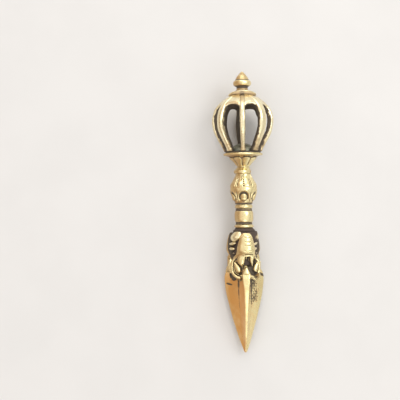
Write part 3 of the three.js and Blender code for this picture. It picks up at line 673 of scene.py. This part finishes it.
def on_tang(name, flank, base, dirt_and_shade, uneven=0.03, lean=0, material=handled_brass, slot="handled_brass"):
    """A turned piece on the tang, whose rim may be cast off the middle, from its flank alone.
    Gives the height at which the next piece begins."""
    length = flank[-1][1]
    form = turned(swept([(BORE_RADIUS, 0), *flank, (BORE_RADIUS, length), (BORE_RADIUS, 0)]), base)
    points = places(form.verts)
    shift = lumps(points, 3.5, uneven, len(name)) + lumps(points, 0.9, uneven / 4, len(name) + 1)
    for corner, out in zip(form.verts, shift):
        reach_out = math.hypot(*corner.co.xy)
        if reach_out > 1.5 * BORE_RADIUS:
            corner.co.xy *= 1 + out / reach_out
            corner.co.x -= lean * max(0, reach_out - 2)
    piece(name, form, material, slot, name, dirt_and_shade=dirt_and_shade)
    return base + length + FILM


collar_base = CORE_BASE + CORE_LENGTH + FILM
collar_flank = [(3.75, 0), (3.9, 0.12), (3.9, 0.3), (3.65, 0.5), (3.2, 1.0), (3.1, 1.1)]
lower_base = on_tang(
    "collar", collar_flank, collar_base, groove_grime(4.2), material=recess_brass, slot="recess_brass",
)
lower_flank = [(3.0, 0), *roll(3.42, 0.12, 1.1, 0.4), (3.0, 1.25)]
groove_dark = groove_grime(3.1)
barrel_base = on_tang("lower_ring", lower_flank, lower_base, groove_dark)
barrel_roll = roll(3.35, 0.85, 4.75, 0.35)
barrel_flank = [(2.95, 0), (2.9, 0.35), (2.95, 0.7), *barrel_roll, (2.95, 4.9), (2.9, 5.25), (2.95, 5.6)]


def barrel_grime(points, normals):
    """As its grooves, and dirty in a worn place low on the front."""
    x, y, height = points.T
    worn = bead(np.hypot((x + 1.1) / 1.1, (height - barrel_base - 1.0) / 0.8)) * ease(0, -1, y)
    return groove_dark(points, normals) + 0.12 * worn


upper_base = on_tang("barrel", barrel_flank, barrel_base, barrel_grime)
upper_flank = [(2.9, 0), *roll(3.17, 0.1, 1.2, 0.3), (2.85, 1.4)]
vase_base = on_tang("upper_ring", upper_flank, upper_base, groove_grime(2.9))

# Vase. A hollow-looking belly on the tang, cast with two registers of petals: narrow ones hang from
# its neck, and five arches below each hold a round seed between two raised borders.
VASE_LENGTH = 10.8
VASE_HEIGHTS = [0, 0.5, 1.5, 3.3, 4.6, 5.8, 6.9, 8.7, 10.2, 10.8]
VASE_RADII = [3.2, 3.27, 3.63, 4.45, 4.8, 4.88, 4.62, 3.68, 3.0, 2.85]
VASE_PETALS = 5
VASE_TURN = -4


def smooth_curve(x, xs, ys):
    """A curve without corners through given points."""
    xs, ys, slopes = np.array(xs), np.array(ys), np.gradient(ys, xs)
    start = np.clip(np.searchsorted(xs, x) - 1, 0, len(xs) - 2)
    end = start + 1
    width = xs[end] - xs[start]
    share = (x - xs[start]) / width
    from_start = ys[start] * (1 + 2 * share) + slopes[start] * width * share
    from_end = ys[end] * (3 - 2 * share) + slopes[end] * width * (share - 1)
    return from_start * (1 - share) ** 2 + from_end * share**2


def vase_outline(bearing, height):
    """Radius of the vase: arches round seeds below, petals and chased lines above."""
    level = smooth_curve(height, VASE_HEIGHTS, VASE_RADII) - 0.17
    side = off_beat(bearing, VASE_PETALS)
    across = np.abs(np.radians(side) * 4.6)
    arch = np.hypot(across / 1.88, np.maximum(height - 2.1, 0) / 2.2)
    lower = ease(5.9, 5.4, height) * ease(0.6, 1.3, height)
    groove = 0.42 * bead((arch - 1) * 1.88 / 0.38) * ease(1.5, 2.3, height)
    seed = 0.7 * dome(np.hypot(across / 1.45, (height - 2.5) / 1.25)) ** 0.7
    sunk = 0.3 * ease(1.0, 0.85, arch) * ease(1.5, 2.4, height)
    rim = 0.16 * bead((arch - 1.32) * 1.88 / 0.42)
    border = 0.26 * bead((across - 2.85) / 0.2) * ease(0.5, 1.1, height) * ease(4.9, 4.2, height)
    level = level + lower * (seed * ease(1.0, 0.9, arch) + rim - groove - sunk - border)
    upper = ease(5.9, 6.6, height) * ease(10.75, 10.2, height)
    beyond = np.abs(across - 1.25) / 1.3
    swelling = 0.16 * dome(np.hypot(beyond, (height - 7.6) / 2.1))
    seam = 0.5 * bead(across / 0.27) * np.clip(0.35 + 0.65 * np.sin(height * 8), 0, 1)
    strokes = 0.5 * bead((side + 11) / 2.8) * ease(8.3, 8.6, height) * ease(10.4, 10.1, height)
    edges = 0.42 * bead((across - 2.55) / 0.27) * ease(6.2, 6.6, height) * ease(9.4, 8.6, height)
    dot = 0.35 * bead(np.hypot(across, height - 6.5) / 0.36)
    level = level + upper * (swelling - seam - strokes - edges - dot)
    level = level - 0.1 * bead((height - 5.85) / 0.3) * ease(1.2, 2.2, across)
    return level + lumps(around(bearing, level, height), 1.3, 0.035, 8)


def vase_grime(points, normals):
    """Dark round its foot and rubbed above it."""
    height = points[:, 2] - vase_base
    return 0.12 * ease(0.9, 0.5, height) - 0.045 * ease(0.9, 1.5, height)


vase = sheet(300, 150, bored(vase_outline, vase_base, VASE_LENGTH))
piece("vase", vase, handled_brass, "handled_brass", "vase", turn=VASE_TURN, reach=0.4, dirt_and_shade=vase_grime)

# Neck ring. A thick turned ring with a narrow throat, threaded on the tang between the vase and the cup.
# Its lip was cast a little off the middle, and dirt has stayed round its right side.
neck_base = vase_base + VASE_LENGTH + FILM
neck_roll = roll(3.0, 0.05, 1.35, 0.3)
neck_flank = [(2.75, 0), *neck_roll, (2.6, 1.5), (2.4, 1.75), (2.25, 2.05), (2.15, 2.3)]


def neck_grime(points, normals):
    """Bright on the front, dark round its right."""
    return 0.12 * ease(1.4, 2.8, points[:, 0]) - 0.04


cup_base = on_tang("neck_ring", neck_flank, neck_base, neck_grime, uneven=0.06, lean=0.35)

# Lotus cup. Eight petals climb a cone to a plain rim with a row of short chased ticks under it. The
# cage's ribs are soldered to the rim's flat top, and the tang comes up through its middle.
CUP_LENGTH = 5.4
CUP_TURN = -11.25
RIM_LOW = 4.1
RIM_HIGH = 4.95
RIM_RADIUS = 6.97
CONE_HEIGHTS = [0, 0.6, 1.6, 2.8, 3.9, RIM_LOW, CUP_LENGTH]
CONE_RADII = [2.1, 2.2, 2.9, 4.1, 5.5, 6.1, 6.5]


def cup_outline(bearing, height):
    """Radius of the cup: petals on a cone, ticks above them, and the rim."""
    side = np.abs(off_beat(bearing, 8, 22.5)) / 22.5
    cone = smooth_curve(height, CONE_HEIGHTS, CONE_RADII)
    petal_top = 3.45 - 0.8 * side**3
    inside_petal = ease(petal_top + 0.12, petal_top - 0.18, height)
    petal = (0.62 * np.sqrt(np.clip(1 - side**2.4, 0, 1)) - 0.16) * inside_petal * ease(0.1, 0.9, height)
    turns = np.radians(bearing)
    ticks = bead((off_beat(bearing, 36) + 1.5 * np.sin(52 * turns)) / 2.2)
    ticks = 0.24 * ticks * (0.6 + 0.4 * np.sin(18 * turns))
    ticks = ticks * ease(3.2, 3.45, height) * ease(4.15, 3.95, height)
    rim = RIM_RADIUS - 0.2 * (2 * (height - RIM_LOW) / (RIM_HIGH - RIM_LOW) - 1) ** 2
    rim = rim - 0.5 * ease(RIM_HIGH - 0.05, RIM_HIGH + 0.1, height)
    level = cone + petal - ticks
    level = np.where(height > RIM_LOW, level + (rim - level) * ease(RIM_LOW, RIM_LOW + 0.1, height), level)
    return np.maximum(level, cone - 0.3) + lumps(around(bearing, level, height), 1.5, 0.04, 9)


def cup_dirt_and_shade(points, normals):
    """Dark on the cage's floor, as patina and painted shade inside the cage, and clean on the cone."""
    height = points[:, 2] - cup_base
    under_cage = 0.16 * ease(RIM_HIGH - 0.05, RIM_HIGH + 0.05, height)
    return under_cage - 0.04 * ease(1, 2, height)


cup = sheet(320, 120, bored(cup_outline, cup_base, CUP_LENGTH))
piece(
    "lotus_cup", cup, handled_brass, "handled_brass", "lotus_cup",
    turn=CUP_TURN, reach=0.4, dirt_and_shade=cup_dirt_and_shade,
)

# Seed boss. A low dome of dull metal on the cage's floor, soldered over the end of the tang.
# Nobody can polish it through the windows, so it is grey-green all over, and its dark colours are partly
# painted shade inside the cage.
cage_base = cup_base + CUP_LENGTH + FILM
floor_brass = brass(
    "floor brass", polished=(0.30, 0.29, 0.21), tan_colour=(0.21, 0.23, 0.19), patina=(0.08, 0.09, 0.075),
    patina_amount=1.1, roughness=0.45, relief=0.08,
)
BOSS_RADIUS = 4.6
BOSS_HEIGHT = 3.0
quarter = np.linspace(0, math.pi / 2, 24)[:-1]
boss_outline = [(BOSS_RADIUS * math.cos(t), BOSS_HEIGHT * math.sin(t)) for t in quarter]
boss = turned([(0, 0), *boss_outline, (0, BOSS_HEIGHT)], cage_base)
for corner, out in zip(boss.verts, lumps(places(boss.verts), 1.8, 0.12, 10)):
    if corner.co.z > cage_base + 0.3:
        corner.co.z += out
piece("seed_boss", boss, floor_brass, "recess_brass", "seed_boss")

# Cage ribs. Eight cast bars bow out from the cup's rim to the crown, flat inside and rounded outside.
# Each stands on the rim and lies in a slot of the dome, and solder fills its foot.
CAGE_LENGTH = 20.1
RIB_EASE = 1.15  # brings the mesh's rows closer together at a rib's foot
RIB_COUNT = 8
RIB_HEIGHTS = [0, 2.2, 4.4, 6.6, 8.8, 11.0, 13.2, 15.2, 17.4, 18.8, 19.6, 20.1]
RIB_RADII = [6.65, 7.75, 9.0, 10.1, 10.7, 10.9, 10.6, 9.85, 8.1, 6.4, 5.1, 4.0]
RIB_SIDES = 32
RIB_THICKNESS = 2.1
CAGE_TURN = -5
RIB_DRIFTS = [0, -1, 0, 0, 8, 0, 0, -6]  # degrees: the ribs don't stand quite evenly
RIB_WIDTHS = [1.9, 3.0, 2.1, 2.8, 2.1, 2.1, 2.1, 2.6]
cage_brass = brass(
    "cage brass", polished=(0.96, 0.88, 0.60), tan_colour=(0.52, 0.33, 0.13), patina=(0.10, 0.078, 0.054),
)
# Deeper than these depths, the ribs' sides darken with patina and painted shade. A dull top is also darkened
# as painted shade under the cap.
RUBBED_DEPTHS = [0.9, 0.5, 0.9, 0.9, 0.9, 0.9, 0.65, 1.25]  # how far in each rib's sides are rubbed clean
DULL_TOPS = [1, 0, 1, 1, 1, 1, 0, 0]  # 1 where a rib's upper end is dull


def rib_height(share):
    """Height of a rib's outer line at a share of the way along it."""
    return CAGE_LENGTH * np.sin(np.clip(share, 0, 1) * np.pi / 2) ** RIB_EASE


def rib_share(height):
    """The share of the way along a rib at a height."""
    return np.arcsin((height / CAGE_LENGTH) ** (1 / RIB_EASE)) * 2 / np.pi


def rib_line(share):
    """Outer line of a rib at a share: radius, height, and the unit step in each."""
    height = rib_height(share)
    ahead, behind = rib_height(share + 1e-3), rib_height(share - 1e-3)
    radius = smooth_curve(height, RIB_HEIGHTS, RIB_RADII)
    run = smooth_curve(ahead, RIB_HEIGHTS, RIB_RADII) - smooth_curve(behind, RIB_HEIGHTS, RIB_RADII)
    rise = ahead - behind
    length = np.hypot(run, rise)
    return radius, height, run / length, rise / length


def rib_point(seed, width):
    """place() for a rib of a width, round it with u and along it with v."""

    def place(u, v):
        radius, height, run, rise = rib_line(v)
        half = width / 2 * (0.75 + 0.25 * ease(0, 0.35, v))
        half = half + 0.25 * ease(0.06, 0.01, v) + 0.2 * ease(0.93, 1, v)
        turn = u * 2 * np.pi
        side = half * np.sign(np.sin(turn)) * np.abs(np.sin(turn)) ** 0.45
        out = np.sign(np.cos(turn)) * np.abs(np.cos(turn)) ** 0.45
        out = np.where(out > 0, out * (1 - 0.3 * (side / half) ** 2), out)
        out = RIB_THICKNESS / 2 * (out - 1) - 0.35 * ease(0.02, 0, v)
        height = height - run * out
        height = np.clip(np.where(v < 0.03, height * ease(0, 0.03, v), height), 0, CAGE_LENGTH)
        points = np.stack([side, -radius - rise * out, cage_base + height], -1)
        wave = lumps(points, 4, 0.05, seed)
        wave = wave + lumps(points, 0.9, 0.035, seed + 1) * np.where(out < -1, 2.5, 0.5)
        return points + np.stack([0.7 * wave, wave, 0 * wave], -1)

    return place


def cage_dirt_and_shade(rubbed_depth, dull_top):
    """Dark in patches deeper than a depth, as patina and painted shade on the ribs' sides; painted shade all
    over what faces the inside of the cage; painted glints deep in the sides.
    """

    def dirt_and_shade(points, normals):
        height = np.clip(points[:, 2] - cage_base, 0, CAGE_LENGTH)
        radius, _, _, rise = rib_line(rib_share(height))
        deep = (radius - radii(points)) * rise
        out = points - np.array([0, 0, cage_base + 9])
        out = out / np.linalg.norm(out, axis=1, keepdims=True)
        outward = np.sum(out * normals, axis=1)
        ragged = deep + lumps(points, 0.45, 0.14, 12)
        patches = 0.19 * ease(rubbed_depth - 0.05, rubbed_depth + 0.2, ragged)
        patches = patches + 0.03 * ease(rubbed_depth - 0.7, rubbed_depth - 0.2, ragged)
        patches = patches + 0.075 * ease(8, 2, height)
        # Painted glints on the inner edges of the ribs' sides.
        painted_glints = 0.16 * ease(0.4, 0.7, lumps(points, 0.35, 1.0, 13)) * bead((deep - 1.7) / 0.4)
        ridge_top = 0.085 * ease(14.0, 18.5, height) * (deep < 1.5) * dull_top
        # What faces the inside of the cage is darkened as painted shade.
        return patches - painted_glints + 0.2 * ease(-0.1, -0.6, outward) + ridge_top

    return dirt_and_shade


def rib_bearing(number):
    return number * 360 / RIB_COUNT + RIB_DRIFTS[number % RIB_COUNT]


for number in range(RIB_COUNT):
    rib = sheet(RIB_SIDES, 110, rib_point(20 + 2 * number, RIB_WIDTHS[number]))
    close_ends(rib)
    name = f"cage_rib_{number + 1}"
    turn = rib_bearing(number) + CAGE_TURN
    dirt_and_shade = cage_dirt_and_shade(RUBBED_DEPTHS[number], DULL_TOPS[number])
    piece(name, rib, cage_brass, "handled_brass", name, turn=turn, dirt_and_shade=dirt_and_shade, painted_reflection=(0.2, 0.2))

# Crown dome. A cast shell closes the cage over its windows, set back a little between the ribs and
# arched over each window. It is polished outside, and dark inside with patina and painted shade.
DOME_THICKNESS = 1.4
WINDOW_TOP = 16.9
STEM_BORE = 0.95
DOME_COLUMNS = 320
WALL_SHARE = 0.42  # the share of the rows on each side of the wall


def dome_point(u, v):
    """A point of the dome, round it with u, and over it and back inside with v."""
    bearing = u * 360
    ribs = [rib_bearing(number) for number in range(RIB_COUNT)]
    ribs = np.array([ribs[-1] - 360, *ribs, ribs[0] + 360])
    across_window = np.interp(bearing, ribs, np.arange(len(ribs))) % 1 * 2 - 1
    to_rib = np.abs(across_window)
    sill = WINDOW_TOP - 2.4 * to_rib**2.6
    start = rib_share(sill)
    outside = np.clip(v / WALL_SHARE, 0, 1)
    inside = np.clip((1 - v) / WALL_SHARE, 0, 1)
    going_in = v > 0.5
    share = np.where(going_in, inside, outside)
    radius, height, run, rise = rib_line(start + (1 - start) * share)
    panel = 0.5 - 0.3 * dome(to_rib / 0.85) ** 0.7
    depth = np.where(going_in, 0.25 + DOME_THICKNESS, panel)
    depth = depth + 0.2 * ease(0.12, 0, share) * np.where(going_in, -1, 1)
    radius = radius - rise * depth
    height = np.minimum(height + run * depth, CAGE_LENGTH)
    flat = (v > WALL_SHARE) & (v < 1 - WALL_SHARE)
    from_bore = np.clip(np.abs(v - 0.5) / (0.5 - WALL_SHARE), 0, 1)
    radius = np.where(flat, STEM_BORE + (radius - STEM_BORE) * from_bore, radius)
    height = np.where(flat, np.where(going_in, CAGE_LENGTH - DOME_THICKNESS, CAGE_LENGTH), height)
    wave = lumps(around(bearing, radius, cage_base + height), 2.2, 0.05, 40) * np.where(flat, 0, 1)
    return around(bearing, radius + wave, cage_base + height)


def dome_dirt_and_shade(points, normals):
    """Rubbed bright on the panels, duller by the ribs, and dark inside with patina and painted shade."""
    by_front_rib = 0.09 * ease(14, 10, np.abs(bearings(points)))
    return cage_dirt_and_shade(1.2, 0)(points, normals) + by_front_rib - 0.05


crown = sheet(DOME_COLUMNS, 90, dome_point)
ends_of_wall = [edge for edge in crown.edges if edge.is_boundary]
bmesh.ops.bridge_loops(crown, edges=ends_of_wall)
piece(
    "crown_dome", crown, cage_brass, "handled_brass", "crown_dome",
    turn=CAGE_TURN, reach=0.6, dirt_and_shade=dome_dirt_and_shade, painted_reflection=(0.3, 0.2),
)

# Cap. A thin brass disc like an umbrella lies soldered on the dome's flat top, under the finial. Its front
# edge has been knocked up, so that its underside shows, painted pale as a reflection.
cap_base = cage_base + CAGE_LENGTH + FILM
CAP_RADIUS = 5.0
CAP_LENGTH = 1.5
EDGE_HALF = 0.16  # half as thick as its rounded edge
BEND_START = 2.6
half_turn = np.linspace(0, math.pi, 9)
cap_rim = [(CAP_RADIUS - EDGE_HALF * (1 - math.sin(t)), 0.3 - EDGE_HALF * math.cos(t)) for t in half_turn]
cap_roof = [(4.8 - 2.35 * n / 8, 0.46 + 1.04 * math.sin(math.pi * n / 16)) for n in range(1, 9)]
cap_bore = [(STEM_BORE, CAP_LENGTH), (STEM_BORE, 0)]
cap_outline = [(STEM_BORE, 0), (3.7, 0), (4.2, 0.05), *cap_rim, *cap_roof, *cap_bore]
cap = turned(swept(cap_outline), cap_base)
for corner in cap.verts:
    reach_out = math.hypot(*corner.co.xy)
    if reach_out > BEND_START:
        front = max(0, -corner.co.y / reach_out)
        bend = 1.15 * front - 0.35 + 0.04 * math.sin(3 * corner.co.x)
        corner.co.z += bend * ((reach_out - BEND_START) / (CAP_RADIUS - BEND_START)) ** 1.5


def cap_grime(points, normals):
    """Rubbed along the edge, and a little dull inside it."""
    reach_out = radii(points)
    return 0.05 * ease(4.85, 4.65, reach_out) - 0.2 * ease(4.75, 4.9, reach_out)


# Its tan and patina colours are pale: a painted reflection that lightens its shaded underside.
cap_brass = brass(
    "cap brass", polished=(0.93, 0.84, 0.60), tan_colour=(0.78, 0.64, 0.46), patina=(0.92, 0.76, 0.56),
    tan_amount=0.8, roughness=0.3,
)
piece("cap_disc", cap, cap_brass, "handled_brass", "cap_disc", dirt_and_shade=cap_grime, painted_reflection=(0.3, 0.2))

# Finial. A bud on a waisted neck, turned with the stem that holds it through the cap and the dome. The
# neck is dark, the bud's bulge is rubbed bright, and a fine line parts it from the cone above.
finial_base = cap_base + CAP_LENGTH + FILM
STEM_LENGTH = 3.1
STEM_RADIUS = 0.9
finial_outline = [
    (0, -STEM_LENGTH), (STEM_RADIUS, -STEM_LENGTH), (STEM_RADIUS, 0),
    (2.2, 0), (2.12, 0.3), (2.05, 0.9), (2.15, 1.4), (2.5, 1.65), (2.95, 1.85), (3.18, 2.15), (3.28, 2.6),
    (3.22, 3.05), (3.0, 3.4), (2.7, 3.62), (2.52, 3.72), (2.42, 3.8), (2.45, 3.95), (2.32, 4.3), (2.0, 4.85),
    (1.6, 5.4), (1.15, 5.95), (0.7, 6.45), (0.35, 6.78), (0, 6.9),
]
finial = turned(swept(finial_outline), finial_base, steps=96)
for corner, out in zip(finial.verts, lumps(places(finial.verts), 1.6, 0.07, 50)):
    if corner.co.z > finial_base + 0.2:
        corner.co.x += out * 0.7
        corner.co.y += out * 0.7


def finial_grime(points, normals):
    """Dark on the neck, tan on the cone and rubbed on the bulge."""
    height = points[:, 2] - finial_base
    bud = 0.075 * ease(3.6, 4.0, height)
    seam = 0.06 * bead((height - 3.78) / 0.15)
    return 0.043 * ease(1.85, 1.6, height) + bud + seam - 0.03 * bead((height - 2.6) / 0.8)


piece("finial", finial, handled_brass, "handled_brass", "finial", dirt_and_shade=finial_grime)

# Floor, light and camera. A plain pale floor, soft light from above and from the upper right with weaker
# light from the left and below, and the camera nearly square to the axis, as in the photograph.
floor_form = bmesh.new()
bmesh.ops.create_grid(floor_form, x_segments=1, y_segments=1, size=1.5)
floor_mesh = bpy.data.meshes.new("floor")
floor_form.to_mesh(floor_mesh)
floor_form.free()
floor = put("floor", floor_mesh)
floor_finish = bpy.data.materials.new("floor paper")
floor_finish.use_nodes = True
paper = floor_finish.node_tree
paper_point = node(paper, "ShaderNodeTexCoord", {}, output="Object")
paper_tone = spread(paper, noise(paper, paper_point, 40.0), 0.3, 0.7)
paper_colour = blend(paper, paper_tone, (0.68, 0.675, 0.67, 1), (0.70, 0.695, 0.69, 1))
paper.links.new(paper_colour, paper.nodes["Principled BSDF"].inputs["Base Color"])
paper.nodes["Principled BSDF"].inputs["Roughness"].default_value = 0.9
floor_mesh.materials.append(floor_finish)

world = bpy.data.worlds.new("studio")
bpy.context.scene.world = world
world.use_nodes = True
sky = world.node_tree
direction = node(sky, "ShaderNodeTexCoord", {}, output="Generated")
compass = sky.nodes.new("ShaderNodeSeparateXYZ")
sky.links.new(direction, compass.inputs["Vector"])
to_right = spread(sky, compass.outputs["X"], -0.7, 0.5)
sides = blend(sky, to_right, (1.0, 0.66, 0.42, 1), (1.0, 0.95, 0.86, 1))
overhead = spread(sky, compass.outputs["Z"], 0.1, 0.75)
studio = blend(sky, overhead, sides, (1.0, 0.98, 0.95, 1))
sky.links.new(studio, sky.nodes["Background"].inputs["Color"])
level = maths(sky, "MULTIPLY_ADD", to_right, 0.3, 0.34)
level = maths(sky, "MULTIPLY_ADD", spread(sky, compass.outputs["Y"], 0.3, 0.9), 0.4, level)
rest = maths(sky, "MULTIPLY", maths(sky, "SUBTRACT", 1.04, level), overhead)
sky.links.new(maths(sky, "ADD", level, rest), sky.nodes["Background"].inputs["Strength"])

toward_camera = axis.cross(Vector((-1, 0, 0))).normalized()
if toward_camera.z < 0:
    toward_camera.negate()
AZIMUTH = math.radians(2)  # the camera stands a little to the left
toward_camera.rotate(Matrix.Rotation(-AZIMUTH, 3, axis))


def lamp(name, place, size, power):
    """A soft lamp that faces the dagger's middle, with its place in millimetres from there."""
    light = bpy.data.lights.new(name, "AREA")
    light.size = size * MM
    light.energy = power
    made = put(name, light)
    target = tip + axis * 50 * MM
    made.location = target + Vector(place) * MM
    made.rotation_euler = (target - made.location).to_track_quat("-Z", "Y").to_euler()


lamp("key", (240, 140, 420), 240, 0.55)
lamp("fill", (-340, -60, 300), 300, 0.1)
lamp("top", (0, 430, 190), 340, 0.55)
lamp("low", (80, -260, 330), 200, 0.15)

CAMERA_DISTANCE = 300
PICTURE_WIDTH = 142.4  # what the picture's width covers at the dagger's axis
PICTURE_MIDDLE = (-15.55, 54.27)  # across from the axis, and up it from the tip
LEAN = math.radians(0.8)
camera = put("camera", bpy.data.cameras.new("camera"))
bpy.context.scene.camera = camera
camera.data.sensor_width = 36
camera.data.lens = 36 * CAMERA_DISTANCE / PICTURE_WIDTH
camera.data.clip_start = 0.01
upright = Matrix.Rotation(-LEAN, 3, toward_camera) @ axis
across = upright.cross(toward_camera)
target = tip + axis * PICTURE_MIDDLE[1] * MM + across * PICTURE_MIDDLE[0] * MM
facing = Matrix((across, upright, toward_camera)).transposed().to_4x4()
camera.matrix_world = Matrix.Translation(target + toward_camera * CAMERA_DISTANCE * MM) @ facing

bpy.context.scene.view_settings.view_transform = "Standard"
